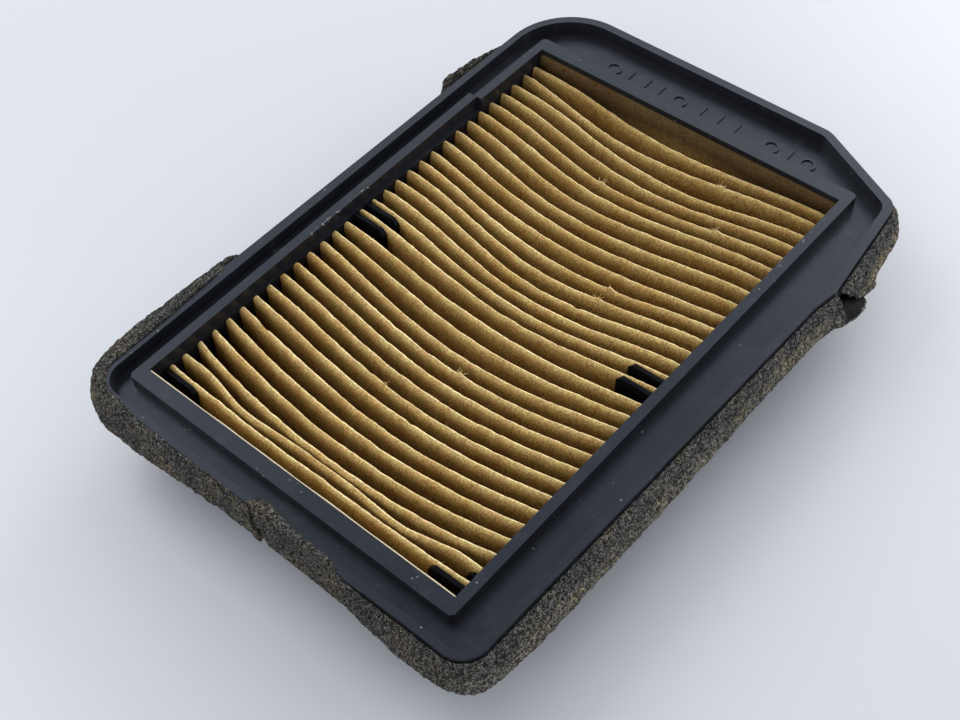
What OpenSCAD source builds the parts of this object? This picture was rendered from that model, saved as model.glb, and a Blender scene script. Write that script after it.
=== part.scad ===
// Panel air filter: a moulded frame with a pleated paper pack and a stuck-on foam seal.
// Millimetres, +Z up. The clean face points up, the box around the pleats points down.
// The outlines are drawn about the centre of the window; place() then centres the whole part.

/* [Window and pleats] */
// length of the window, along X
window_len = 157.5; // [120:0.5:200]
// width of the window, along Y
window_wid = 104; // [80:0.5:140]
// number of paper folds that point up, end flaps included
fold_count = 32; // [10:1:60]
// paper thickness
paper_t = 0.6; // [0.3:0.05:1]
// gap from a short wall to the middle of the end flap beside it
flap_gap = 0.6; // [0.4:0.05:2]
// drop from the top of the raised strip to the paper folds
fold_drop = 3.6; // [1:0.1:8]
// how far the left end flap stands up above the folds
flap_rise = 3; // [0:0.1:3.4]

/* [Frame heights] */
// height of the raised strip above the underside
strip_top = 30; // [20:0.5:50]
// height of the raised strip above the flange
strip_rise = 3.75; // [2:0.05:6]
// height of the outer lip above the flange
lip_rise = 4.05; // [2:0.05:6]
// thickness of the flange plate
flange_t = 2; // [1.2:0.1:4]

/* [Frame widths] */
// width of the strip at the left end
strip_left = 4.4; // [2:0.1:8]
// width of the strip at the right end
strip_right = 4.6; // [2:0.1:8]
// width of the strip along the two long sides
strip_side = 2.9; // [2:0.1:8]
// size of the cut across the strip's outer corners
strip_corner = 1; // [0:0.1:3]
// how far the thin back strip has crept outward at its loose end
back_creep = 1.7; // [0:0.1:3]
// X of the step where the crept back strip ends
back_step_x = 50.6; // [0:0.1:70]
// thickness of the box wall below the flange
wall_t = 2.2; // [1.2:0.1:2.8]
// width of the ledge that the paper stands on
ledge_wid = 2; // [1:0.1:4]
// thickness of the ledge and of the cross rib
ledge_t = 1.6; // [1:0.1:4]
// width of the cross rib
rib_wid = 2.4; // [1:0.1:5]

/* [Separator blades] */
// length of a full blade, out from its wall
blade_len = 11.9; // [5:0.1:15]
// length of the short blade beside the front left corner
blade_short = 4.6; // [2:0.1:10]
// thickness of a blade
blade_t = 1.2; // [0.8:0.1:2]
// depth of a blade
blade_depth = 9.4; // [4:0.1:12]
// cut across a blade's free upper corner
blade_cut = 1.6; // [0:0.1:3]
// how far a full blade's top stands up above the paper folds
blade_rise = 0.3; // [-2:0.1:2]
// drop from the paper folds to the short blade's top
short_drop = 1.5; // [0:0.1:5]
// distance from a blade's middle back to the fold that leans on it
blade_back = 1.45; // [1.45:0.05:3]

/* [Foam seal] */
// height of the foam's underside
foam_bottom = 17.5; // [5:0.5:22]
// how far the foam stands out past the flange
foam_proud = 2.4; // [0:0.1:6]
// how much further it stands out along the front
front_swell = 1.4; // [0:0.1:4]
// how far the foam reaches in under the flange
foam_in = 8.4; // [3:0.1:12]
// drop from the lip's top to the foam that has swollen up outside it
foam_top_drop = 1.6; // [0:0.1:4]
// thickness of the adhesive tape
tape_t = 0.2; // [0.1:0.05:0.5]
// gap between the ends of two strips
joint_gap = 0.4; // [0.2:0.1:2]
// Y of the joint in the left side
joint_left_y = 2; // [-20:0.5:20]
// X of the joint in the front side
joint_front_x = 51; // [48:0.5:56]
// X of the joint in the back side
joint_back_x = 52.8; // [0:0.5:70]
// how much further the back strip bulges beside the back left corner
bulge = 2; // [0:0.1:5]
// how far the torn lower end at the front joint curls out past the back's and ends' foam
curl_out = 2.3; // [1.6:0.1:6]
// how far that end reaches past the joint, under the end strip
curl_len = 10; // [3:0.1:14]
// height of its top
curl_top = 21; // [18:0.5:24]
// length of the frayed end that lies on the lip at the left joint
fray_len = 28; // [5:0.5:35]
// thickness of that frayed end
fray_t = 1.4; // [0.5:0.1:4]
// how far that frayed end reaches in past the lip's outer edge
fray_in = 2.3; // [0.5:0.1:4]

/* [Mould mark] */
// height of the moulded bars and rings on the right of the flange
mark_rise = 0.4; // [0.2:0.1:1]
// width of their lines
mark_line = 0.9; // [0.5:0.1:2]

/* [Hidden] */
eps = 0.05;
big = 400;
flange_top = strip_top - strip_rise;
flange_low = flange_top - flange_t;
lip_top = flange_top + lip_rise;
half_len = window_len / 2;
half_wid = window_wid / 2;
fold_top = strip_top - fold_drop;
fold_low = ledge_t + eps;
first_fold = -half_len + flap_gap;
pitch = (window_len - 2 * flap_gap) / (fold_count - 1);
foam_top = lip_top - foam_top_drop;
// half the width of a fold's flat top, outside and inside the sheet
fold_half = 0.75;
fold_inner = fold_half - paper_t;
// angle of the sheet between a fold's top and the valley beside it
sheet_lean = atan((pitch / 2 - fold_half - fold_inner) / (fold_top - fold_low - paper_t));
// Y of the curled end's inner face, just outside the flange
curl_in = -70;

// Corners of the flange: [x, y, corner radius], anticlockwise from the front left.
flange_corners = [
    [-91.1, -66, 7.5], [42, -68, 0], [50.5, -69.3, 0], [52.5, -69, 0], [85.9, -65.1, 5],
    [100, -35.8, 8], [100, 62.8, 21], [-91.1, 62.8, 9]
];
// Corners of the lip's inner edge. The back of the lip thins towards the right.
lip_corners = [
    [-89.1, -63.7, 5.5], [42, -65.7, 0], [50.5, -66.8, 0], [52.5, -66.6, 0], [84, -62.75, 4.5],
    [97.4, -35.2, 6.5], [97.4, 60.8, 19], [-89.1, 59.3, 6.5]
];
// Corners that the foam's outer face follows: the flange's, with the front ones moved out.
foam_corners = [for (c = flange_corners) [c.x, c.y < -60 ? c.y - front_swell : c.y, c.z]];
// The part's box, for centring it: the foam outside the flange, bulge and curled end included.
box_x = [flange_corners[0].x - foam_proud, flange_corners[5].x + foam_proud];
box_y = [
    flange_corners[2].y - foam_proud - curl_out,
    flange_corners[6].y + foam_proud + bulge
];
centre = [(box_x[0] + box_x[1]) / 2, (box_y[0] + box_y[1]) / 2];

$fn = 96;
// degrees between the points of a rounded corner
arc_step = 5;

// Corner i of a closed list of corners, with the sides moved outward by grow.
function side_normal(c, i) =
    let (n = len(c), a = c[(i + n) % n], b = c[(i + 1) % n], d = norm([b.x - a.x, b.y - a.y]))
    [(b.y - a.y) / d, (a.x - b.x) / d];
function moved_corner(c, i, grow) =
    let (n1 = side_normal(c, i - 1), n2 = side_normal(c, i), k = grow / (1 + n1 * n2))
    [c[i].x + k * (n1.x + n2.x), c[i].y + k * (n1.y + n2.y)];
function corner_radius(c, i, grow) = c[i].z > 0 ? max(0.5, c[i].z + grow) : 0;
// The arc that rounds corner i, from one side's tangent point to the next side's.
function corner_arc(c, i, grow) =
    let (
        n1 = side_normal(c, i - 1),
        n2 = side_normal(c, i),
        at = moved_corner(c, i, grow),
        r = corner_radius(c, i, grow),
        middle = at - r / (1 + n1 * n2) * (n1 + n2),
        from = atan2(n1.y, n1.x),
        turn = (atan2(n2.y, n2.x) - from + 360) % 360,
        steps = ceil(turn / arc_step)
    )
    r == 0 ? [at] : [
        for (k = [0 : steps])
            middle + r * [cos(from + turn * k / steps), sin(from + turn * k / steps)]
    ];

module outline(c, grow = 0) {
    polygon([for (i = [0 : len(c) - 1]) each corner_arc(c, i, grow)]);
}

module place() {
    translate([-centre.x, -centre.y, 0]) children();
}

module slab(low, high) {
    translate([0, 0, low]) linear_extrude(high - low) children();
}

module window() {
    square([window_len, window_wid], center = true);
}

// A block with cut corners around the window.
module surround() {
    left = -half_len - strip_left;
    right = half_len + strip_right;
    side = half_wid + strip_side;
    cut = strip_corner;
    polygon([
        [left + cut, -side], [right - cut, -side], [right, -side + cut], [right, side - cut],
        [right - cut, side], [left + cut, side], [left, side - cut], [left, -side + cut]
    ]);
}

// The raised strip: three sides follow the box, the back one has crept outward.
module strip() {
    step = [back_step_x, half_wid];
    difference() {
        union() {
            surround();
            polygon([
                [-half_len, half_wid], [-half_len, half_wid + strip_side],
                [step.x, step.y + strip_side + back_creep], step
            ]);
        }
        window();
        polygon([
            [-half_len, half_wid - eps], step - [0, eps], step + [0, back_creep], [-half_len, half_wid]
        ]);
    }
}

// side is 1 for the back wall and -1 for the front wall; fold counts from the left flap.
// The blade leans as the sheet behind it does. rise is from the folds to its top.
module blade(fold, side, reach, rise) {
    low = rise - blade_depth;
    root = 0.5;
    free = side * (half_wid - reach);
    translate([first_fold + fold * pitch - blade_back, 0, fold_top]) rotate([0, sheet_lean, 0])
        rotate([90, 0, 90]) linear_extrude(blade_t, center = true)
            polygon([
                [side * (half_wid + root), low], [free, low], [free, rise - blade_cut],
                [free + side * blade_cut, rise], [side * (half_wid + root), rise]
            ]);
}

// A row of plain bars and rings stands in for the moulded lettering.
module mark() {
    x = half_len + strip_right + 5;
    for (y = [-36, -24, 8, 32]) translate([x, y]) difference() {
        circle(2.6);
        circle(2.6 - mark_line);
    }
    for (y = [-30, -12, -6, 0, 15, 20, 26]) translate([x, y])
        square([5.2, mark_line], center = true);
}

module frame() {
    color([0.22, 0.23, 0.26]) place() {
        slab(0, flange_low + eps) difference() {
            square([window_len + 2 * wall_t, window_wid + 2 * wall_t], center = true);
            window();
        }
        slab(flange_low, flange_top) difference() {
            outline(flange_corners);
            window();
        }
        slab(flange_top - eps, lip_top) difference() {
            outline(flange_corners);
            outline(lip_corners);
        }
        slab(flange_top - eps, strip_top) strip();
        slab(0, ledge_t) difference() {
            square([window_len + 1, window_wid + 1], center = true);
            square([window_len - 2 * ledge_wid, window_wid - 2 * ledge_wid], center = true);
        }
        slab(0, ledge_t) square([rib_wid, window_wid + 1], center = true);
        for (fold = [1, 15, 16], side = [-1, 1]) blade(fold, side, blade_len, blade_rise);
        blade(2, -1, blade_short, -short_drop);
        slab(flange_top - eps, flange_top + mark_rise) mark();
    }
}

// One sheet folded up and down: the upper face from left to right, then the lower one back.
module pleated_paper() {
    last = fold_count - 1;
    outer = fold_half;
    inner = fold_inner;
    upper = [
        for (i = [0 : last - 1])
            let (x = first_fold + i * pitch, valley = x + pitch / 2, ridge = x + pitch)
            each [
                [valley - inner, fold_low + paper_t], [valley + inner, fold_low + paper_t],
                if (i < last - 1) [ridge - outer, fold_top],
                if (i < last - 1) [ridge + outer, fold_top]
            ]
    ];
    lower = [
        for (i = [last - 1 : -1 : 0])
            let (x = first_fold + i * pitch, valley = x + pitch / 2)
            each [
                [valley + outer, fold_low], [valley - outer, fold_low],
                if (i > 0) [x + inner, fold_top - paper_t],
                if (i > 0) [x - inner, fold_top - paper_t]
            ]
    ];
    flap_top = fold_top + flap_rise;
    left_edge = [[first_fold - paper_t / 2, flap_top], [first_fold + paper_t / 2, flap_top]];
    right_edge = [[-first_fold - paper_t / 2, fold_top], [-first_fold + paper_t / 2, fold_top]];
    color([0.62, 0.5, 0.3]) place()
        rotate([90, 0, 0]) linear_extrude(window_wid - 2 * eps, center = true)
            polygon(concat(left_edge, upper, right_edge, lower));
}

// The part of the seal's plan that each strip covers.
module back_span() {
    translate([joint_back_x - big, joint_left_y + joint_gap / 2]) square([big, big]);
}

module front_span() {
    translate([joint_front_x - big, joint_left_y - joint_gap / 2 - big]) square([big, big]);
}

module end_span() {
    translate([joint_back_x + joint_gap, 0]) square([big, big]);
    translate([joint_front_x + joint_gap, -big]) square([big, big + eps]);
}

module foam_ring(inner) {
    difference() {
        outline(foam_corners, foam_proud);
        outline(flange_corners, inner);
    }
}

module tape_ring() {
    difference() {
        outline(flange_corners, -0.4);
        outline(flange_corners, -foam_in);
    }
}

// children(0) is the strip's span.
module foam_strip() {
    slab(foam_bottom, flange_low - tape_t) intersection() {
        foam_ring(-foam_in);
        children();
    }
    slab(foam_bottom, foam_top) intersection() {
        foam_ring(eps);
        children();
    }
}

module foam_back() {
    edge = flange_corners[6].y;
    bulge_from = -82;
    bulge_to = -32;
    color([0.25, 0.25, 0.24]) place() {
        foam_strip() back_span();
        slab(foam_bottom, foam_top) polygon([
            [bulge_to, edge + 1],
            for (t = [1 : -0.1 : 0])
                [bulge_from + t * (bulge_to - bulge_from), edge + foam_proud + bulge * sin(180 * t)],
            [bulge_from, edge + 1]
        ]);
    }
}

module foam_front() {
    out_y = box_y[0];
    start = joint_front_x - 8;
    edge = flange_corners[0].x;
    fray_y = joint_left_y - joint_gap / 2 - fray_len;
    color([0.25, 0.25, 0.24]) place() {
        foam_strip() front_span();
        slab(foam_bottom, curl_top) polygon([
            [start, curl_in + 1], [joint_front_x - 2, out_y], [joint_front_x + curl_len, out_y],
            [joint_front_x + curl_len, curl_in], [joint_front_x - eps, curl_in],
            [joint_front_x - eps, curl_in + 1]
        ]);
        translate([edge - foam_proud, fray_y, foam_top - eps])
            cube([foam_proud - eps, fray_len, lip_top + fray_t - foam_top + eps]);
        translate([edge - foam_proud, fray_y, lip_top + eps])
            cube([foam_proud + fray_in, fray_len, fray_t - eps]);
    }
}

// Notched below for the front strip's curled end.
module foam_end() {
    room = 5;
    color([0.25, 0.25, 0.24]) place() difference() {
        foam_strip() end_span();
        slab(foam_bottom - 1, curl_top + joint_gap)
            translate([joint_front_x, box_y[0] - room])
                square([curl_len + joint_gap, curl_in + joint_gap - box_y[0] + room]);
    }
}

module tape(shade = 0.75) {
    color([shade, shade, shade - 0.05]) place()
        slab(flange_low - tape_t, flange_low) intersection() {
            tape_ring();
            children();
        }
}

module tape_back() {
    tape() back_span();
}

module tape_front() {
    tape() front_span();
}

module tape_end() {
    tape() end_span();
}

frame();
pleated_paper();
foam_back();
foam_front();
foam_end();
tape_back();
tape_front();
tape_end();
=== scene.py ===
import math
import random

import bmesh
import bpy
import numpy as np
from mathutils import Euler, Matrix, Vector, noise


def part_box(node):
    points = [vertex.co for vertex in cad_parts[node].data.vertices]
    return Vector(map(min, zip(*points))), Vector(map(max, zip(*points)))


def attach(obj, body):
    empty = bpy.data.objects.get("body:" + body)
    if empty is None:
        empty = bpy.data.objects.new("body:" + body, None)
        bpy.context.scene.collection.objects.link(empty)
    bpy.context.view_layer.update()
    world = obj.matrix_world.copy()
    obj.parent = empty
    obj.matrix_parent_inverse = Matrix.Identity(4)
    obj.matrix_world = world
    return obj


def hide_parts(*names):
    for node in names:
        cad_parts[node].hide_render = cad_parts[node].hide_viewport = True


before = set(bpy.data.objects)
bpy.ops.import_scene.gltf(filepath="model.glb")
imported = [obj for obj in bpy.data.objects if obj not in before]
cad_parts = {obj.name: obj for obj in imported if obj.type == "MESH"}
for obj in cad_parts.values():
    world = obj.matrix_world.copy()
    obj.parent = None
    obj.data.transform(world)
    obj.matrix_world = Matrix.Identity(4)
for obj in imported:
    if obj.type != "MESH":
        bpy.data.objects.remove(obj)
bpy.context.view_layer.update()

# Meshes, lights and nodes are in metres. Sizes are named in millimetres, and MM turns them into metres.
MM = 0.001
BODY = "root"
SEED = 12

# ---------------------------------------------------------------- places taken from the frame
PAPER_LOW, PAPER_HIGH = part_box("pleated_paper")
WINDOW_X = (PAPER_LOW.x + PAPER_HIGH.x) / 2
WINDOW_Y = (PAPER_LOW.y + PAPER_HIGH.y) / 2
FOLD_LENGTH = (PAPER_HIGH.y - PAPER_LOW.y) / MM

# ---------------------------------------------------------------- heights of the paper, in millimetres
FOLD_TOP = 26.4
FLAP_TOP = 29.6  # the flap beside the left wall
END_TOP = 28.4  # the sheet against the right wall

# ---------------------------------------------------------------- camera
# from the middle of the window, at the height of the underside
CAMERA_AT = Vector((-190.61, -176.34, 319.89)) * MM + Vector((WINDOW_X, WINDOW_Y, 0.0))
CAMERA_TURN = (38.823, 3.032, -49.160)
LENS = 55.52
SENSOR = 36.0


def make_camera():
    data = bpy.data.cameras.new("camera")
    data.lens = LENS
    data.sensor_width = SENSOR
    data.clip_start = 0.01
    camera = bpy.data.objects.new("camera", data)
    camera.location = CAMERA_AT
    camera.rotation_euler = Euler([math.radians(a) for a in CAMERA_TURN], "XYZ")
    bpy.context.scene.collection.objects.link(camera)
    bpy.context.scene.camera = camera


# ---------------------------------------------------------------- small helpers
def mesh_object(name, verts, faces, smooth=True):
    mesh = bpy.data.meshes.new(name)
    mesh.from_pydata([tuple(v) for v in verts], [], faces)
    mesh.update()
    if smooth:
        mesh.shade_smooth()
    obj = bpy.data.objects.new(name, mesh)
    bpy.context.scene.collection.objects.link(obj)
    return obj


def coat(node_name, material):
    """Gives a CAD node that stays in the model its material."""
    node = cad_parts[node_name]
    node.data.materials.clear()
    node.data.materials.append(material)
    return node


def smooth_step(x, low, high):
    t = np.clip((x - low) / (high - low), 0.0, 1.0)
    return t * t * (3 - 2 * t)


def wobble(a, b, c):
    """Smooth noise, about -1 to 1. Patterns that must not look alike read it at places far apart."""
    return noise.noise(Vector((a, b, c)))


class Nodes:
    """A short way to build a material's node tree. Patterns come back as the socket with the result."""

    def __init__(self, name):
        self.material = bpy.data.materials.new(name)
        self.material.use_nodes = True
        self.tree = self.material.node_tree
        self.tree.nodes.clear()
        self.shader = self.add("ShaderNodeBsdfPrincipled")
        self.add("ShaderNodeOutputMaterial", Surface=self.shader.outputs["BSDF"])
        self.here = self.add("ShaderNodeTexCoord").outputs["Object"]
        self.place = self.add("ShaderNodeSeparateXYZ", Vector=self.here)

    def feed(self, socket, value):
        """Gives an input a number, a colour or the result of another node."""
        if isinstance(value, bpy.types.NodeSocket):
            self.tree.links.new(value, socket)
        elif socket.type == "RGBA":
            socket.default_value = (*value, 1.0)
        else:
            socket.default_value = value

    def add(self, kind, **values):
        """A new node. Each value goes to the input of that name, or else to the setting of that name."""
        node = self.tree.nodes.new(kind)
        for key, value in values.items():
            if key in node.inputs:
                self.feed(node.inputs[key], value)
            else:
                setattr(node, key, value)
        return node

    def along(self, axis):
        return self.place.outputs[axis]

    def combine(self, operation, *values):
        node = self.add("ShaderNodeMath", operation=operation)
        for socket, value in zip(node.inputs, values):
            self.feed(socket, value)
        return node.outputs["Value"]

    def within(self, axis, low, high):
        """1 where the coordinate along the axis lies from low to high, in metres, and 0 elsewhere."""
        return self.combine("COMPARE", self.along(axis), (low + high) / 2, (high - low) / 2)

    def spread(self, value, low, high, to_low=0.0, to_high=1.0):
        """Goes evenly from to_low to to_high as value goes from low to high, and no further."""
        limits = {"From Min": low, "From Max": high, "To Min": to_low, "To Max": to_high}
        return self.add("ShaderNodeMapRange", Value=value, **limits).outputs["Result"]

    def noise(self, scale, detail, rough, stretch=None, output="Fac"):
        """scale is about the number of lumps in a metre."""
        here = self.here
        if stretch:
            here = self.add("ShaderNodeMapping", Vector=here, Scale=stretch).outputs["Vector"]
        node = self.add("ShaderNodeTexNoise", Vector=here, Scale=scale, Detail=detail, Roughness=rough)
        return node.outputs[output]

    def voronoi(self, scale, feature, here):
        node = self.add("ShaderNodeTexVoronoi", feature=feature, Vector=here, Scale=scale)
        return node.outputs["Distance"]

    def ramp(self, value, *stops):
        """A colour that follows value: each stop is a value and its colour."""
        node = self.add("ShaderNodeValToRGB", Fac=value)
        elements = node.color_ramp.elements
        while len(elements) < len(stops):
            elements.new(0.5)
        for element, (at, colour) in zip(elements, stops):
            element.position = at
            element.color = (*colour, 1.0)
        return node.outputs["Color"]

    def grey(self, value, low, high, dark=0.0, light=1.0):
        """A grey that goes from dark to light as value goes from low to high."""
        return self.ramp(value, (low, (dark,) * 3), (high, (light,) * 3))

    def mix(self, factor, a, b, blend="MIX"):
        node = self.add("ShaderNodeMix", data_type="RGBA", blend_type=blend)
        factor_in, a_in, b_in, colour_out = 0, 6, 7, 2  # this node's sockets share names, but not numbers
        self.feed(node.inputs[factor_in], factor)
        self.feed(node.inputs[a_in], a)
        self.feed(node.inputs[b_in], b)
        return node.outputs[colour_out]

    def times(self, a, b):
        return self.mix(1.0, a, b, "MULTIPLY")

    def bump(self, height, strength, distance, under=None):
        """distance is in mm, and under is the bump that this one lies on."""
        node = self.add("ShaderNodeBump", Height=height, Strength=strength, Distance=distance * MM)
        if under:
            self.feed(node.inputs["Normal"], under)
        return node.outputs["Normal"]

    def surface(self, colour, roughness, gloss, normal=None):
        """Gives the material these looks and returns it."""
        self.feed(self.shader.inputs["Base Color"], colour)
        self.feed(self.shader.inputs["Roughness"], roughness)
        self.feed(self.shader.inputs["Specular IOR Level"], gloss)
        if normal:
            self.feed(self.shader.inputs["Normal"], normal)
        return self.material


# ---------------------------------------------------------------- materials
BLACK = (0.0, 0.0, 0.0)
WHITE = (1.0, 1.0, 1.0)
# Where dust lies on the moulding's edges, in mm from the window's centre: lowest and highest corner.
DUST = [
    ((-20, 52.2, 29.5), (5, 53.6, 31)),
    ((54, 64.8, 26), (80, 67.0, 31)),
    ((59.4, -53.2, 29.5), (61.8, -51.9, 31)),
    ((48.2, -53.0, 29.5), (49.8, -51.9, 31)),
    ((44.0, -54.2, 29.5), (45.0, -53.2, 31))
]
# Half the length and width of the space between the folds that holds the separator blades, mm.
BLADES_X = 78.5
BLADES_Y = 51.8


def plastic_material():
    n = Nodes("moulded_plastic")
    tone = n.ramp(n.noise(38.0, 5.0, 0.6), (0.3, (0.0080, 0.0085, 0.0115)), (0.7, (0.0120, 0.0125, 0.0165)))
    # a thin film of dust, thicker in patches
    film = n.grey(n.noise(140.0, 8.0, 0.8), 0.55, 0.85)
    tone = n.mix(film, tone, (0.040, 0.041, 0.043))
    # scattered pale flecks
    fleck = n.grey(n.voronoi(330.0, "F1", n.here), 0.03, 0.10, 1.0, 0.0)
    sparse = n.grey(n.noise(85.0, 2.0, 0.5), 0.53, 0.60)
    tone = n.mix(n.times(fleck, sparse), tone, (0.24, 0.235, 0.22))
    # dust on the edges
    speckle = n.grey(n.noise(700.0, 4.0, 0.8), 0.56, 0.62)
    for low, high in DUST:
        marks = speckle
        for axis, centre, a, b in zip("XYZ", (WINDOW_X, WINDOW_Y, 0.0), low, high):
            marks = n.times(marks, n.within(axis, centre + a * MM, centre + b * MM))
        tone = n.mix(marks, tone, (0.30, 0.30, 0.29))
    # painted shade: the blades between the folds are darkened to near black for the shadow of the folds
    # they lie among, and they hardly shine
    across = n.within("X", WINDOW_X - BLADES_X * MM, WINDOW_X + BLADES_X * MM)
    along = n.within("Y", WINDOW_Y - BLADES_Y * MM, WINDOW_Y + BLADES_Y * MM)
    blades = n.combine("MULTIPLY", across, along)
    tone = n.mix(blades, tone, (0.004, 0.004, 0.005))
    gloss = n.spread(blades, 0.0, 1.0, 0.36, 0.04)
    # painted light: the reflections are tinted blue for the bluish sky that they reflect
    n.feed(n.shader.inputs["Specular Tint"], (0.67, 0.80, 1.0))
    rough = n.grey(n.noise(90.0, 5.0, 0.65), 0.3, 0.75, 0.26, 0.40)
    # a fine grain under long faint scratches
    skin = n.bump(n.noise(1100.0, 3.0, 0.6), 0.10, 0.2)
    skin = n.bump(n.noise(60.0, 2.0, 0.5, stretch=(1.0, 14.0, 1.0)), 0.05, 0.4, skin)
    return n.surface(tone, rough, gloss, skin)


def paper_material():
    n = Nodes("oiled_paper")
    # painted shade: darker and redder further down between the folds, where less light reaches, and lighter
    # towards their tops
    height = n.spread(n.along("Z"), (FOLD_TOP - 8) * MM, (FOLD_TOP + 2) * MM)
    tone = n.ramp(
        height, (0.0, (0.25, 0.132, 0.028)), (0.48, (0.335, 0.205, 0.060)), (0.74, (0.415, 0.280, 0.106)),
        (0.81, (0.49, 0.355, 0.150)))
    # painted highlight along the ridges, on the side that faces the lights on the right
    facing = n.add("ShaderNodeSeparateXYZ", Vector=n.add("ShaderNodeNewGeometry").outputs["Normal"])
    right = n.grey(facing.outputs["X"], 0.02, 0.55)
    ridge_highlight = n.ramp(height, (0.70, BLACK), (0.80, WHITE), (0.87, WHITE), (0.92, BLACK))
    tone = n.mix(n.times(right, ridge_highlight), tone, (0.95, 0.80, 0.49))
    # dark beside the right wall
    side = n.spread(n.along("X"), WINDOW_X + 20 * MM, WINDOW_X + 78 * MM)
    shade = n.ramp(side, (0.0, WHITE), (0.945, (0.84, 0.83, 0.80)), (0.98, (0.165, 0.135, 0.118)))
    # stains, fibres and blotches
    cloud = n.noise(60.0, 6.0, 0.65)
    stain = n.ramp(cloud, (0.30, (0.86, 0.77, 0.60)), (0.52, WHITE), (0.75, (1.05, 1.08, 1.0)))
    fibre = n.noise(2100.0, 4.0, 0.75, stretch=(1.0, 1.0, 0.5))
    weave = n.ramp(fibre, (0.34, (0.50, 0.45, 0.38)), (0.5, (0.94, 0.94, 0.93)), (0.66, (1.42, 1.40, 1.36)))
    coarse = n.noise(360.0, 3.0, 0.6)
    blotch = n.ramp(coarse, (0.36, (0.91, 0.84, 0.78)), (0.5, WHITE), (0.64, (1.0, 1.07, 0.98)))
    for pattern in (shade, stain, weave, blotch):
        tone = n.times(tone, pattern)
    # the top edge of the flap beside the left wall is painted pale
    flap = n.within("X", WINDOW_X - 80.0 * MM, WINDOW_X - 77.7 * MM)
    edge = n.within("Z", (FLAP_TOP - 0.7) * MM, (FLAP_TOP + 2.0) * MM)
    tone = n.mix(n.combine("MULTIPLY", flap, edge), tone, (0.60, 0.51, 0.36))
    return n.surface(tone, 0.88, 0.2, n.bump(fibre, 0.6, 0.4))


def foam_material():
    n = Nodes("seal_foam")
    # the cells' walls: a warped net of thin pale lines over dark hollows
    warped = n.mix(1.1 * MM, n.here, n.noise(1100.0, 3.0, 0.65, output="Color"), "ADD")
    wall = n.grey(n.voronoi(1650.0, "DISTANCE_TO_EDGE", warped), 0.02, 0.24, 1.0, 0.0)
    cloud = n.noise(75.0, 5.0, 0.7)
    strut = n.ramp(
        cloud, (0.36, (0.085, 0.084, 0.083)), (0.50, (0.130, 0.124, 0.112)), (0.60, (0.19, 0.160, 0.112)),
        (0.72, (0.28, 0.200, 0.120)))
    strut = n.times(strut, n.grey(n.noise(1050.0, 4.0, 0.7), 0.42, 0.61, 0.08, 1.65))
    pore = n.ramp(cloud, (0.3, (0.004, 0.004, 0.005)), (0.7, (0.014, 0.013, 0.012)))
    tone = n.mix(wall, pore, strut)
    # the strip along the front is painted paler, and much paler low down: painted light on the lower band
    # that bulges out into the light, and painted shade on the upper band under the lip
    front = n.spread(n.along("Y"), WINDOW_Y - 60 * MM, WINDOW_Y - 67 * MM)
    height = n.spread(n.along("Z"), 23.8 * MM, 25.6 * MM)
    paler_lit_low = n.mix(height, (2.65, 2.55, 2.30), (1.25, 1.33, 1.45))
    tone = n.mix(front, tone, n.times(tone, paler_lit_low))
    # painted glints: tiny pale specks where light catches the cells' walls
    grain = n.grey(n.noise(2300.0, 2.0, 0.5), 0.60, 0.70)
    tone = n.mix(grain, tone, (0.34, 0.34, 0.32))
    return n.surface(tone, 0.85, 0.2, n.bump(wall, 0.9, 0.5))


def torn_shaded_material():
    n = Nodes("torn_foam_in_shade")
    # painted shade: the torn face is nearly black for the shadow that it lies in
    tone = n.ramp(n.noise(220.0, 4.0, 0.6), (0.35, (0.002, 0.002, 0.002)), (0.7, (0.009, 0.010, 0.008)))
    return n.surface(tone, 0.7, 0.15, n.bump(n.noise(900.0, 4.0, 0.6), 0.3, 0.3))


def tape_material():
    n = Nodes("adhesive_tape")
    tone = n.ramp(n.noise(90.0, 4.0, 0.6), (0.3, (0.40, 0.37, 0.30)), (0.7, (0.55, 0.52, 0.44)))
    return n.surface(tone, 0.45, 0.5)


def floor_material():
    n = Nodes("table")
    tone = n.ramp(n.noise(3.0, 3.0, 0.5), (0.3, (0.480, 0.500, 0.545)), (0.7, (0.500, 0.518, 0.560)))
    return n.surface(tone, 0.48, 1.0)


# ---------------------------------------------------------------- frame moulding
EDGE_R = 0.35  # the rounding of the moulding's edges, mm
EDGE_ANGLE = 35  # edges sharper than this are rounded, degrees


def finish_moulding(material):
    moulding = coat("frame", material)
    # the mesh's split points are joined and its flat faces made whole, so that the edges can be rounded
    weld = moulding.modifiers.new("weld", "WELD")
    weld.merge_threshold = 0.01 * MM
    flat = moulding.modifiers.new("flat", "DECIMATE")
    flat.decimate_type = "DISSOLVE"
    flat.angle_limit = math.radians(0.5)
    edges = moulding.modifiers.new("edges", "BEVEL")
    edges.width = EDGE_R * MM
    edges.segments = 2
    edges.limit_method = "ANGLE"
    edges.angle_limit = math.radians(EDGE_ANGLE)
    edges.use_clamp_overlap = True


# ---------------------------------------------------------------- pleated paper
FOLDS = 32  # the full folds, with the sheet's end at each short wall as the first and the last
PAPER_T = 0.6  # thickness, mm
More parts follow.
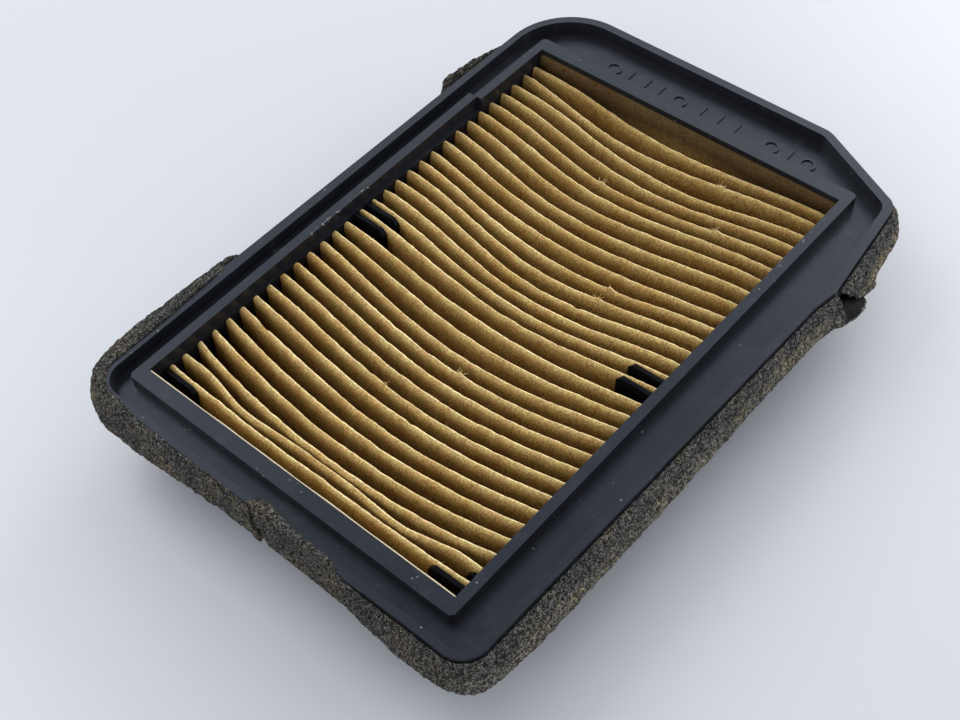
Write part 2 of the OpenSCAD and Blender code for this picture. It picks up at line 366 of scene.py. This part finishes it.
# The folds that lead the others, which lie evenly between them: fold, how far it bows to the left at most
# in mm, where along it that is (0 at the front wall, 1 at the back), how sharply it bends, and how far to
# the right of an even spacing its ends sit in mm.
LEADERS = [
    (1, 1.0, 0.50, 0.7, 0.5), (3, 6.0, 0.48, 0.8, 0.5), (8, 6.0, 0.42, 1.3, 0.3),
    (12, 7.0, 0.45, 1.3, 0.5), (14, 5.0, 0.42, 1.4, 0.0), (15, 5.5, 0.45, 1.6, 1.0),
    (18, 7.5, 0.45, 2.0, 0.5), (21, 7.0, 0.50, 1.2, 0.5), (24, 7.0, 0.53, 1.6, 1.5),
    (28, 7.0, 0.45, 2.0, 1.5), (29, 6.5, 0.55, 1.5, 2.0), (30, 4.5, 0.47, 2.4, 1.5)
]
LEAD_FOLD, *LEAD_SHAPE = zip(*LEADERS)
UNEVEN = 0.6  # how much the folds' bows differ from that rule, mm
KINKED = 2  # this fold is pressed flat against the ones beside it, and bends sharply near the back
KINK_LEFT = 3.2  # how far it is pressed to the left, mm
KINK_RIGHT = 0.8  # how far its middle swells back, mm
# Nicks and tufts along the folds: fold, mm from the window's centre, half length and how far up in mm.
NICKS = [
    (6, 42, 2, -0.9), (7, -9, 1, -0.6), (8, 10, 1.5, -0.5), (8, 5, 1, 0.4), (11, -9, 0.7, 0.9),
    (11, 4, 2.5, -0.5), (18, -18, 1, -0.5), (19, -21, 0.8, 0.8), (20, -21, 0.7, 0.9), (20, -27, 3, -0.5),
    (26, 5, 0.8, 0.6), (26, -31, 1, 0.7), (29, -22, 0.8, 0.6)
]
TOP_WAVE = 0.15  # how much a fold's top wavers, mm
FLAP_IN = 0.15  # how far the flap lies past its even place, towards the left wall, mm
CAP_R = 0.8  # radius over a fold, mm
CAP_SHARE = 0.42  # the most of a gap between two folds that this radius takes
CAP_STEPS = 7
PINCH = 0.6  # how much the back ends of the folds at the right are pinched together
PINCH_LENGTH = 4  # mm
END_ROUND = 0.9  # how far from a wall a fold's top begins to come down, mm
END_DROP = 0.5  # how far it comes down, mm
PANEL_STEPS = 7
VALLEY_STEPS = 4
VALLEY_W = 0.9  # width of the bend between two folds where there is room for it, mm
VALLEY_R = 0.5  # its height, mm
LENGTH_STEPS = 240
CROWDED = 0.09  # how much closer together the steps are beside the walls
LOW_Z = 2.0  # bottom of the gaps, mm
LAST_LOW = 13.0  # bottom of the gap beside the right wall, where the last sheet hangs slack, mm
LAST_VALLEY = 0.12  # how far across that gap its bottom lies, from the fold to the wall


def fold_x(k, w):
    """How far right of the window's centre fold k lies, in mm, at w of its length from the front wall."""
    width = (PAPER_HIGH.x - PAPER_LOW.x) / MM - PAPER_T
    base = -width / 2 + width * k / (FOLDS - 1)
    if k == 0:
        return base - FLAP_IN + 0.12 * wobble(7.1, w * 9.0, 5.0)
    if k == FOLDS - 1:
        return base
    bow, centre, power, right = (np.interp(k, LEAD_FOLD, column) for column in LEAD_SHAPE)
    bow += UNEVEN * wobble(k * 1.37, 2.0, 6.0)
    # skewed so that the bow is largest at the centre given
    skewed = w ** (math.log(0.5) / math.log(centre))
    shape = math.sin(math.pi * skewed) ** power
    waves = 0.25 * wobble(k * 0.9, w * 5.0, 3.1) + 0.20 * wobble(k * 2.3, w * 22.0, 7.7)
    ripple = math.sin(math.pi * w) * waves + 0.12 * wobble(k * 3.1, w * 60.0, 1.4)
    if k == KINKED:
        y = (w - 0.5) * FOLD_LENGTH
        pressed = smooth_step(y, -46, -26) * (1 - smooth_step(y, 24, 46))
        swell = smooth_step(y, -26, -8) * (1 - smooth_step(y, 4, 24))
        return base - KINK_LEFT * pressed + KINK_RIGHT * swell + 0.5 * ripple
    return base + right - bow * shape + ripple


def fold_top(k, w):
    """The height of fold k there, in mm."""
    if k == 0:
        return FLAP_TOP + TOP_WAVE * wobble(4.4, w * 14.0, 2.2)
    if k == FOLDS - 1:
        return END_TOP
    lift = 0.5 * wobble(k * 1.7, w * 4.0, 8.2) * math.sin(math.pi * w)
    for fold, at, half, up in NICKS:
        if fold == k:
            lift += up * math.exp(-(((w - 0.5) * FOLD_LENGTH - at) / half) ** 2)
    near = min(w, 1 - w) * FOLD_LENGTH
    t = max(0.0, 1 - near / END_ROUND)
    shoulder = END_DROP * (1 - math.sqrt(1 - t * t))
    return FOLD_TOP - TOP_WAVE + lift + TOP_WAVE * wobble(k * 2.9, w * 45.0, 5.5) - shoulder


def fold_radius(xs, k, w):
    """The radius over fold k, where xs says how near its neighbours are."""
    near_back = (1 - w) * FOLD_LENGTH
    pinch = 1 - PINCH * smooth_step(k, 12, 18) * (1 - smooth_step(near_back, 0, PINCH_LENGTH))
    return pinch * min(CAP_R, CAP_SHARE * (xs[k + 1] - xs[k]), CAP_SHARE * (xs[k] - xs[k - 1]))


def cap(x, top, r):
    """Points over a fold, from its left side to its right."""
    angles = [math.pi * (1 - i / CAP_STEPS) for i in range(CAP_STEPS + 1)]
    return [(x + r * math.cos(a), top - r + r * math.sin(a)) for a in angles]


def panel(top, foot):
    """Points down one side of a fold, between its top and its foot and closer together near the top."""
    shares = [(i / PANEL_STEPS) ** 1.5 for i in range(1, PANEL_STEPS)]
    return [(top[0] + (foot[0] - top[0]) * t, top[1] + (foot[1] - top[1]) * t) for t in shares]


def gap(k, start, end):
    """Points between fold k's right side, at start, and the next fold's left side, at end."""
    share, low = (LAST_VALLEY, LAST_LOW) if k == FOLDS - 2 else (0.5, LOW_Z)
    across = end[0] - start[0]
    middle = start[0] + share * across
    half = share * min(VALLEY_W, VALLEY_W * across)
    foot = low + VALLEY_R
    bend = []
    for i in range(VALLEY_STEPS):
        a = math.pi * (1 + i / (VALLEY_STEPS - 1))
        bend.append((middle + half * math.cos(a), foot + VALLEY_R * math.sin(a)))
    return panel(start, (middle - half, foot)) + bend + panel(end, (middle + half, foot))[::-1]


def pleat_profile(w):
    """The sheet's middle surface across all folds at one place along them: a list of (x, z)."""
    xs = [fold_x(k, w) for k in range(FOLDS)]
    line = [(xs[0], fold_top(0, w))]
    for k in range(1, FOLDS):
        x, top = xs[k], fold_top(k, w)
        is_end = k == FOLDS - 1
        room = min(CAP_R, CAP_SHARE * (x - xs[k - 1]))
        line += gap(k - 1, line[-1], (x if is_end else x - room, top - room))
        line += [(x, top)] if is_end else cap(x, top, fold_radius(xs, k, w))
    return line


def make_paper(material):
    rows = []
    for j in range(LENGTH_STEPS + 1):
        even = j / LENGTH_STEPS
        w = even - CROWDED * math.sin(2 * math.pi * even)
        y = PAPER_LOW.y / MM + FOLD_LENGTH * w
        rows.append([(WINDOW_X / MM + x, y, z) for x, z in pleat_profile(w)])
    count = len(rows[0])
    verts = np.array(rows).reshape(-1, 3) * MM
    faces = [
        (j * count + i, j * count + i + 1, (j + 1) * count + i + 1, (j + 1) * count + i)
        for j in range(LENGTH_STEPS)
        for i in range(count - 1)
    ]
    paper = mesh_object("paper_pack", verts, faces)
    thick = paper.modifiers.new("thickness", "SOLIDIFY")
    thick.thickness = PAPER_T * MM
    thick.offset = -1.0
    paper.data.materials.append(material)
    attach(paper, BODY)
    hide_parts("pleated_paper")


# ---------------------------------------------------------------- loose fibres
FIBRES = 12  # along each fold
TUFT_FIBRES = 9  # at each tuft
FIBRE_STEPS = 4
FIBRE_SIDES = 3
FIBRE_DROOP = 0.9  # how much a fibre bends down along its length, radians
FIBRE_TAPER = 0.5  # how much thinner its tip is


def strand(start, heading, rise, length, radius, curl):
    """A thin closed tube from start, which turns by curl radians along its length: its points and faces."""
    rings = []
    at = Vector(start)
    for i in range(FIBRE_STEPS + 1):
        turn = heading + curl * i / FIBRE_STEPS
        along = Vector((math.cos(turn) * math.cos(rise), math.sin(turn) * math.cos(rise), math.sin(rise)))
        across = along.cross(Vector((0, 0, 1))).normalized()
        up = across.cross(along)
        size = radius * (1 - FIBRE_TAPER * i / FIBRE_STEPS)
        for j in range(FIBRE_SIDES):
            a = 2 * math.pi * j / FIBRE_SIDES
            rings.append(at + size * (math.cos(a) * across + math.sin(a) * up))
        at = at + along * (length / FIBRE_STEPS)
        rise -= FIBRE_DROOP / FIBRE_STEPS
    faces = []
    for a in range(0, FIBRE_STEPS * FIBRE_SIDES, FIBRE_SIDES):
        b = a + FIBRE_SIDES
        for j in range(FIBRE_SIDES):
            k = (j + 1) % FIBRE_SIDES
            faces.append((a + j, a + k, b + k, b + j))
    first = tuple(range(FIBRE_SIDES))
    last = tuple(FIBRE_STEPS * FIBRE_SIDES + j for j in first)
    return rings, faces + [first[::-1], last]


def make_fuzz(material):
    """Loose fibres: short ones all along the folds, and longer curled ones at the tufts."""
    rng = random.Random(SEED)
    roots = []  # fold, place along it, length, radius, most curl
    for k in range(1, FOLDS - 1):
        for _ in range(FIBRES):
            roots.append((k, rng.uniform(0.04, 0.96), rng.uniform(0.5, 1.1), 0.05, 0.8))
    for fold, at, half, up in NICKS:
        if up > 0:
            for _ in range(TUFT_FIBRES):
                w = 0.5 + (at + rng.uniform(-half, half)) / FOLD_LENGTH
                roots.append((fold, w, rng.uniform(1.2, 2.2), 0.10, 3.6))
    verts, faces = [], []
    for k, w, length, radius, most in roots:
        x = WINDOW_X / MM + fold_x(k, w) + rng.uniform(-0.5, 0.5)
        y = PAPER_LOW.y / MM + FOLD_LENGTH * w
        start = (x, y, fold_top(k, w) - 0.35)
        curl = rng.uniform(-most, most)
        heading = rng.uniform(0, 2 * math.pi)
        rise = rng.uniform(0.2, 1.1)
        points, sides = strand(start, heading, rise, length, radius, curl)
        faces += [tuple(i + len(verts) for i in face) for face in sides]
        verts += points
    fuzz = mesh_object("paper_fibres", [v * MM for v in verts], faces)
    fuzz.data.materials.append(material)
    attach(fuzz, BODY)


# ---------------------------------------------------------------- foam seal
# The flange's corners about the window's centre, as the CAD has them: x, y and corner radius in mm.
FLANGE = [
    (-91.1, -66.0, 7.5), (42.0, -68.0, 0.0), (50.5, -69.3, 0.0), (52.5, -69.0, 0.0), (85.9, -65.1, 5.0),
    (100.0, -35.8, 8.0), (100.0, 62.8, 21.0), (-91.1, 62.8, 9.0)
]
# Where the strips meet, mm from the window's centre.
JOINT_LEFT_Y = 2.0
JOINT_FRONT_X = 50.5
JOINT_BACK_X = 52.8
TONGUE = 10.5  # how far the front strip's torn end runs on past its joint, mm
TONGUE_ROOM = 1.6  # how far past that joint the end strip starts, mm
JOINT_GAP = 0.2  # half the gap at the back joint, mm
LEAN_OVER = 22.0  # how far from a joint a strip's leaning end is felt, mm
RAGGED_OVER = 2.5  # how far from a joint a strip's end is ragged, mm
FOAM_STEP = 0.3  # distance between stations along a strip, mm
FACE_STEPS = 46  # points over the face of a strip that shows
EVEN_OUT = 31  # stations over which the strip's width is smoothed
FOAM_LOW = 17.6  # its underside
FOAM_TOP = 28.7  # its plain top, beside the lip
FOAM_IN = 8.4  # how far under the flange the foam reaches, mm
FOAM_CEILING = 24.02  # the foam's hidden top, against the tape


class Loop:
    """Walks round the flange, anticlockwise from a point on its left side, at any offset from its edge."""

    def __init__(self, corners, start_y):
        n = len(corners)
        at = np.array([c[:2] for c in corners])
        radius = np.array([c[2] for c in corners])
        along = np.roll(at, -1, axis=0) - at
        along /= np.linalg.norm(along, axis=1)[:, None]
        self.side = np.stack([along[:, 1], -along[:, 0]], axis=1)
        before = np.roll(self.side, 1, axis=0)
        self.at, self.radius = at, radius
        self.reach = (before + self.side) / (1 + (before * self.side).sum(axis=1))[:, None]
        self.turn_from = np.arctan2(before[:, 1], before[:, 0])
        self.turn = (np.arctan2(self.side[:, 1], self.side[:, 0]) - self.turn_from) % (2 * math.pi)
        self.parts = []
        for i in range(n):
            if radius[i]:
                self.parts.append(("arc", i, radius[i] * self.turn[i]))
            j = (i + 1) % n
            gap = self.tangent(j, i) - self.tangent(i, i)
            self.parts.append(("side", i, float(np.linalg.norm(gap))))
        self.ends = np.cumsum([part[2] for part in self.parts])
        self.total = self.ends[-1]
        self.start = self.total - (start_y - self.tangent(0, n - 1)[1])

    def rounded(self, i, d):
        """The radius of corner i at the offset d, which stays large enough to be smooth."""
        return np.maximum(0.5, self.radius[i] + d)

    def tangent(self, i, side, d=0.0):
        r = np.where(self.radius[i] > 0, self.rounded(i, d), 0.0)
        return self.at[i] + np.multiply.outer(d - r, self.reach[i]) + np.multiply.outer(r, self.side[side])

    def point(self, u, d):
        """The points at u along the flange's edge from the left joint and d out from it, both arrays."""
        u, d = np.broadcast_arrays(u, d)
        where = (u + self.start) % self.total
        index = np.searchsorted(self.ends, where, side="right").clip(0, len(self.parts) - 1)
        result = np.zeros(u.shape + (2,))
        for k, (kind, i, length) in enumerate(self.parts):
            chosen = index == k
            if not chosen.any():
                continue
            t = (where[chosen] - (self.ends[k] - length)) / length
            off = d[chosen]
            if kind == "arc":
                r = self.rounded(i, off)
                angle = self.turn_from[i] + self.turn[i] * t
                turn = np.stack([np.cos(angle), np.sin(angle)], axis=-1)
                result[chosen] = self.at[i] + (off - r)[:, None] * self.reach[i] + r[:, None] * turn
            else:
                first = self.tangent(i, i, off)
                last = self.tangent((i + 1) % len(self.at), i, off)
                result[chosen] = (1 - t)[:, None] * first + t[:, None] * last
        return result

    def distance(self, test):
        """The first u at which the edge's point passes test(x, y)."""
        u = np.arange(0.0, self.total, 0.1)
        xy = self.point(u, np.zeros_like(u))
        return float(u[np.argmax(test(xy[:, 0], xy[:, 1]))])


def proud_of(x, y):
    """How far the foam stands out past the flange's edge at (x, y), in mm."""
    front = np.interp(
        x, [-91, -72, -20, 20, 50, 55, 62, 68, 90], [2.5, 4.0, 3.5, 2.5, 2.5, 5.0, 5.0, 3.5, 2.5])
    back = np.interp(x, [-91, -66, -52, -32, 40, 52, 64, 84], [3.5, 4.5, 3.5, 1.2, 1.2, 4.2, 2.6, 1.3])
    left = np.interp(y, [-61, -45, -30, -5, 15, 26, 45, 54], [2.6, 3.2, 1.3, 1.0, 1.2, 2.0, 3.2, 3.0])
    right = np.interp(y, [-66, -50, 40], [2.4, 1.4, 1.5])
    return np.where(y < -60, front, np.where(y > 58, back, np.where(x < 0, left, right)))


def fractal(points, scale, octaves, seed):
    """Value noise at every point of an array of millimetre positions, about -1 to 1."""
    shift = Vector((seed, seed * 0.7, -seed * 1.3))
    flat = points.reshape(-1, 3) / scale
    values = [noise.fractal(Vector(p) + shift, 0.6, 2.1, octaves) for p in flat.tolist()]
    return np.array(values).reshape(points.shape[:-1])


def cells(points, scale, seed):
    """Distance to the nearest of a scatter of points, one to a cell of the given size."""
    shift = Vector((seed, seed, seed))
    flat = points.reshape(-1, 3) / scale
    values = [noise.voronoi(Vector(p) + shift)[0][0] for p in flat.tolist()]
    return np.array(values).reshape(points.shape[:-1])


def spline(values, at):
    """A Catmull-Rom curve through each row of values, read at the places given in steps from its start."""
    last = values.shape[1] - 1
    index = np.clip(np.floor(at).astype(int), 0, last - 1)
    t = at - index
    p0, p1 = values[:, np.maximum(index - 1, 0)], values[:, index]
    p2, p3 = values[:, index + 1], values[:, np.minimum(index + 2, last)]
    slope = p2 - p0
    curve = 2 * p0 - 5 * p1 + 4 * p2 - p3
    twist = 3 * p1 - p0 - 3 * p2 + p3
    return 0.5 * (2 * p1 + slope * t + curve * t ** 2 + twist * t ** 3)


def even_walk(d, z):
    """FACE_STEPS points spread evenly along the smooth curve through each station's points."""
    fine = np.linspace(0, d.shape[1] - 1, 120)
    dd = spline(d, fine)
    zz = spline(z, fine)
    step = np.hypot(np.diff(dd, axis=1), np.diff(zz, axis=1))
    walked = np.concatenate([np.zeros((len(d), 1)), np.cumsum(step, axis=1)], axis=1)
    face_d, face_z = [], []
    for row in range(len(d)):
        wanted = np.linspace(0, walked[row, -1], FACE_STEPS)
        face_d.append(np.interp(wanted, walked[row], dd[row]))
        face_z.append(np.interp(wanted, walked[row], zz[row]))
    return np.array(face_d), np.array(face_z)


def strip_profile(proud, top, over, reach, full):
    """One closed section of a strip for each station: arrays of offset d and height z.

    over is how much the strip laps on to the lip, from 0 to 1, and reach how far in it then comes.
    full squares its upper outer shoulder, from 0 to 1.
    The first FACE_STEPS points are the face that shows, from the lip's edge round to the underside.
    """
    one = np.ones_like(proud)
    rise = (top - FOAM_LOW) / (FOAM_TOP - FOAM_LOW)

    def height(plain, lapped):
        return FOAM_LOW + (plain - FOAM_LOW) * rise + (lapped - plain) * over

    def out(plain, lapped):
        return plain * proud * (1 - over) + lapped * over

    def shoulder(low, high):
        return low + (high - low) * full * rise

    d = np.stack([
        0.15 * (1 - over) - reach * over,
        out(0.10, -0.75 * reach),
        out(0.34, -0.1),
        out(0.6, 0.45 * proud) + 0.05 * proud * full,
        out(0.8, 0.72 * proud) + 0.08 * proud * full,
        (0.94 + 0.03 * full) * proud,
        1.0 * proud,
        0.97 * proud,
        0.86 * proud,
        0.66 * proud,
        0.2 * proud
    ], axis=1)
    z = np.stack([
        height(28.5, 30.36),
        height(28.75, 31.0),
        height(28.2, 31.4),
        shoulder(height(26.6, 29.6), 31.0),
        shoulder(height(24.5, 26.4), 30.0),
        shoulder(height(22.2, 22.6), 27.6),
        shoulder(height(20.2, 20.2), 23.0),
        height(18.9, 18.9),
        height(18.0, 18.0),
        height(17.65, 17.65),
        FOAM_LOW * one
    ], axis=1)
    face_d, face_z = even_walk(d, z)
    # the rest goes in under the foam, up to the tape, and back out to the lip's edge
    tuck = np.minimum(face_z[:, 0] - 0.05, np.where(over > 0.5, 30.33, 28.3))
    ceiling = np.minimum(FOAM_CEILING, tuck - 0.3)
    hidden_d = np.outer(one, [-2, -5, -FOAM_IN, -FOAM_IN, -5, -1, 0.1, 0.1])
    hidden_z = np.stack([FOAM_LOW * one] * 3 + [ceiling] * 4 + [tuck], axis=1)
    return np.concatenate([face_d, hidden_d], axis=1), np.concatenate([face_z, hidden_z], axis=1)


def roughen(points, seed, torn=None):
    """Gives the face that shows its lumps and pores, fewer pores where torn says 1."""
    du = np.gradient(points, axis=0)
    dv = np.gradient(points, axis=1)
    outward = np.cross(dv, du)
    outward /= np.linalg.norm(outward, axis=2)[:, :, None] + 1e-9
    face = np.arange(FACE_STEPS)
    skin = points[:, face]
    lumps = 0.22 * fractal(skin, 8.0, 2, seed) + 0.20 * fractal(skin, 2.3, 2, seed + 1)
    cell = cells(skin + 0.5 * fractal(skin, 1.3, 2, seed + 2)[:, :, None], 0.8, seed)
    pores = 0.24 * (smooth_step(cell, 0.10, 0.60) - 0.75) + 0.24 * fractal(skin, 0.85, 2, seed + 3)
    if torn is not None:
        pores = pores * (1 - 0.85 * torn(skin))
    fade = np.minimum(smooth_step(face, 0, 3), smooth_step(FACE_STEPS - 1 - face, 0, 5))[None, :]
    points[:, face] += outward[:, face] * ((lumps + pores) * fade)[:, :, None]


def make_strip(loop, u_from, u_to, shape, seed, lean_start=None, lean_end=None, torn=None):
    """The points of a strip, station by station.

    shape(u, edge, proud) gives what differs from a plain section, by the names that strip_profile has.
    lean_start and lean_end give how far each end leans along the strip for a height z, in mm.
    """
    u = np.linspace(u_from, u_to, int((u_to - u_from) / FOAM_STEP) + 1)
    edge = loop.point(u, np.zeros_like(u))
    kernel = np.hanning(EVEN_OUT)
    padded = np.pad(proud_of(edge[:, 0], edge[:, 1]), EVEN_OUT // 2, mode="edge")
    proud = np.convolve(padded, kernel / kernel.sum(), mode="valid")
    one = np.ones_like(u)
    section = {"proud": proud, "top": FOAM_TOP * one, "over": 0 * one, "reach": one, "full": 0 * one}
    section.update(shape(u, edge, proud))
    d, z = strip_profile(**section)
    uu = np.repeat(u[:, None], d.shape[1], axis=1)
    if lean_start:
        uu = uu + lean_start(z) * (1 - smooth_step(uu - u_from, 0, LEAN_OVER))
    if lean_end:
        uu = uu + lean_end(z) * (1 - smooth_step(u_to - uu, 0, LEAN_OVER))
    points = np.concatenate([loop.point(uu, d), z[:, :, None]], axis=2)
    ragged = fractal(points, 2.2, 3, seed + 5) * 0.9
    at_start = 1 - smooth_step(u - u_from, 0, RAGGED_OVER)
    at_end = 1 - smooth_step(u_to - u, 0, RAGGED_OVER)
    points[:, :, :2] = loop.point(uu + ragged * (at_end - at_start)[:, None], d)
    roughen(points, seed, torn)
    return points


def strip_object(name, points, replaced, materials, marks=None):
    """marks(place) says which faces take the second material."""
    stations, around = points.shape[:2]
    centre = np.array([WINDOW_X / MM, WINDOW_Y / MM, 0.0])
    verts = points.reshape(-1, 3) + centre
    faces = []
    for a in range(0, (stations - 1) * around, around):
        b = a + around
        for i in range(around):
            k = (i + 1) % around
            faces.append((a + i, a + k, b + k, b + i))
    first = tuple(range(around))[::-1]
    last = tuple(range((stations - 1) * around, stations * around))
    obj = mesh_object(name, verts * MM, faces + [first, last])
    # the end faces are split into a fan about their middle, so that they can be uneven
    bm = bmesh.new()
    bm.from_mesh(obj.data)
    bm.faces.ensure_lookup_table()
    bmesh.ops.poke(bm, faces=bm.faces[len(faces):])
    bmesh.ops.recalc_face_normals(bm, faces=bm.faces)
    bm.to_mesh(obj.data)
    bm.free()
    obj.data.shade_smooth()
    for material in materials:
        obj.data.materials.append(material)
    if marks is not None:
        for polygon in obj.data.polygons:
            if marks(polygon.center / MM - Vector(centre)):
                polygon.material_index = 1
    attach(obj, BODY)
    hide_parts(replaced)


def low_down(z):
    """0 over the flange's underside, 1 near the foam's."""
    return smooth_step(-z, -24.5, -21.5)


def make_foam(materials):
    loop = Loop(FLANGE, JOINT_LEFT_Y)
    at_front = loop.distance(lambda x, y: (y < -60) & (x > JOINT_FRONT_X))
    at_back = loop.distance(lambda x, y: (y > 50) & (x < JOINT_BACK_X))

    def front_shape(u, edge, proud):
        """Laps on to the lip beside the left joint, and ends past the front joint in a low torn tongue."""
        x, y = edge[:, 0], edge[:, 1]
        over = (x < -80) * (1 - smooth_step(-y, 24.0, 31.0))
        reach = np.interp(-y, [-3, 2, 6, 10, 22, 30], [2.6, 3.3, 2.7, 2.0, 1.6, 0.6])
        reach = reach + 0.25 * np.array([wobble(a * 0.9, 4.2, 1.0) for a in u])
        past = u - at_front
        top = FOAM_TOP - smooth_step(past, -0.4, 0.8) * (4.4 + 3.2 * smooth_step(past, 0, 10))
        flare = smooth_step(past, -4.0, 1.0) * (1 - 0.6 * smooth_step(past, 7.5, 10.5))
        proud = proud + 0.9 * flare - 0.9 * (1 - smooth_step(u, 0.5, 3.0))
        return {"proud": proud, "top": top, "over": over, "reach": reach}

    def back_shape(u, edge, proud):
        """Laps on to the lip round the back left corner, and its shoulder is full along the back."""
        x, y = edge[:, 0], edge[:, 1]
        behind = y > 58
        over = np.where(behind, 1 - smooth_step(x, -48, -36), 0.68 + 0.32 * smooth_step(y, 40, 48))
        over = over - 0.2 * (~behind) * (1 - smooth_step(y, 6, 12))
        reach_behind = np.interp(x, [-88, -80, -66, -50], [1.9, 2.0, 1.8, 0.9])
        reach_left = np.interp(y, [40, 46, 50, 58], [0.12, 0.6, 1.3, 1.8])
        waves = np.array([wobble(a * 0.9, 9.1, 3.0) for a in u])
        reach = np.where(behind, reach_behind, reach_left) + np.where(behind | (y > 44), 0.25, 0.05) * waves
        full_behind = np.interp(
            x, [-91, -86, -78, -64, -50, -40, -34, 46, 50, 56, 62, 72],
            [0.25, 0.5, 0.95, 0.9, 1, 1, 0.3, 0.1, 1, 1, 1, 0.6])
        full = np.where(behind, full_behind, 0.25 * smooth_step(y, 48, 58))
        proud = proud + 0.6 * smooth_step(u, loop.total - 3.0, loop.total - 1.0)
        return {"proud": proud, "over": over, "reach": reach, "full": full}

    def end_shape(u, edge, proud):
        """Its shoulder is full beside the back joint."""
        x, y = edge[:, 0], edge[:, 1]
        return {"full": (y > 58) * np.interp(x, [50, 62, 72, 80], [1, 1, 0.6, 0])}

    def torn(points):
        """1 on the torn face of the front strip's tongue."""
        return smooth_step(points[:, :, 0], 50.3, 51.2) * (points[:, :, 1] < -60)

    front = make_strip(
        loop, 0.0, at_front + TONGUE, front_shape, seed=1.0,
        lean_start=lambda z: 2.4 * low_down(z), torn=torn)
    end = make_strip(
        loop, at_front + TONGUE_ROOM, at_back - JOINT_GAP, end_shape, seed=7.0,
        lean_start=lambda z: np.clip((28.0 - z) * 1.05, 0, TONGUE))
    back = make_strip(
        loop, at_back + JOINT_GAP, loop.total - JOINT_GAP / 2, back_shape, seed=13.0,
        lean_end=lambda z: 1.9 * low_down(z))
    strip_object(
        "foam_strip_front", front, "foam_front", materials,
        marks=lambda place: place.y < -60 and place.x > 50.6 and place.z > 19.2)
    strip_object("foam_strip_end", end, "foam_end", materials)
    strip_object("foam_strip_back", back, "foam_back", materials)


# ---------------------------------------------------------------- floor and light
FLOOR = 6.0  # half the floor's side, in metres
LIGHTS_AIM = Vector((0.0, 0.0, 0.02))  # what every light points at


def make_stage():
    corners = [(-FLOOR, -FLOOR, 0), (FLOOR, -FLOOR, 0), (FLOOR, FLOOR, 0), (-FLOOR, FLOOR, 0)]
    floor = mesh_object("floor", corners, [(0, 1, 2, 3)], smooth=False)
    floor.data.materials.append(floor_material())


def sky_light(name, azimuth, elevation, distance, size, power, colour):
    """A soft light over the part. azimuth is in degrees anticlockwise from +X."""
    a, e = math.radians(azimuth), math.radians(elevation)
    at = distance * Vector((math.cos(e) * math.cos(a), math.cos(e) * math.sin(a), math.sin(e)))
    data = bpy.data.lights.new(name, "AREA")
    data.shape = "RECTANGLE"
    data.size, data.size_y = size
    data.energy = power
    data.color = colour
    light = bpy.data.objects.new(name, data)
    light.location = at
    light.rotation_euler = (LIGHTS_AIM - at).to_track_quat("-Z", "Y").to_euler()
    bpy.context.scene.collection.objects.link(light)


def make_light():
    world = bpy.data.worlds.new("studio")
    world.use_nodes = True
    background = world.node_tree.nodes["Background"]
    background.inputs["Color"].default_value = (0.93, 0.96, 1.0, 1.0)
    background.inputs["Strength"].default_value = 0.66
    bpy.context.scene.world = world
    warm = (1.0, 0.99, 0.97)
    cool = (0.97, 0.98, 1.0)
    sky_light("window", 101, 46, 1.3, (0.8, 0.8), 6.5, warm)
    sky_light("glow", 4, 25, 1.5, (0.9, 0.6), 11.0, warm)
    sky_light("right", 3, 51, 1.4, (0.9, 0.9), 1.1, cool)
    sky_light("back", 47, 36, 1.5, (1.2, 0.8), 2.6, cool)
    sky_light("front", -45, 28, 1.4, (1.0, 0.8), 5.0, (0.98, 0.99, 1.0))
    sky_light("left", 185, 24, 1.3, (1.1, 0.9), 5.5, cool)
    bpy.context.scene.view_settings.view_transform = "Standard"


make_camera()
finish_moulding(plastic_material())
paper = paper_material()
make_paper(paper)
make_fuzz(paper)
make_foam([foam_material(), torn_shaded_material()])
tape = tape_material()
for name in ("tape_back", "tape_front", "tape_end"):
    coat(name, tape)
make_stage()
make_light()
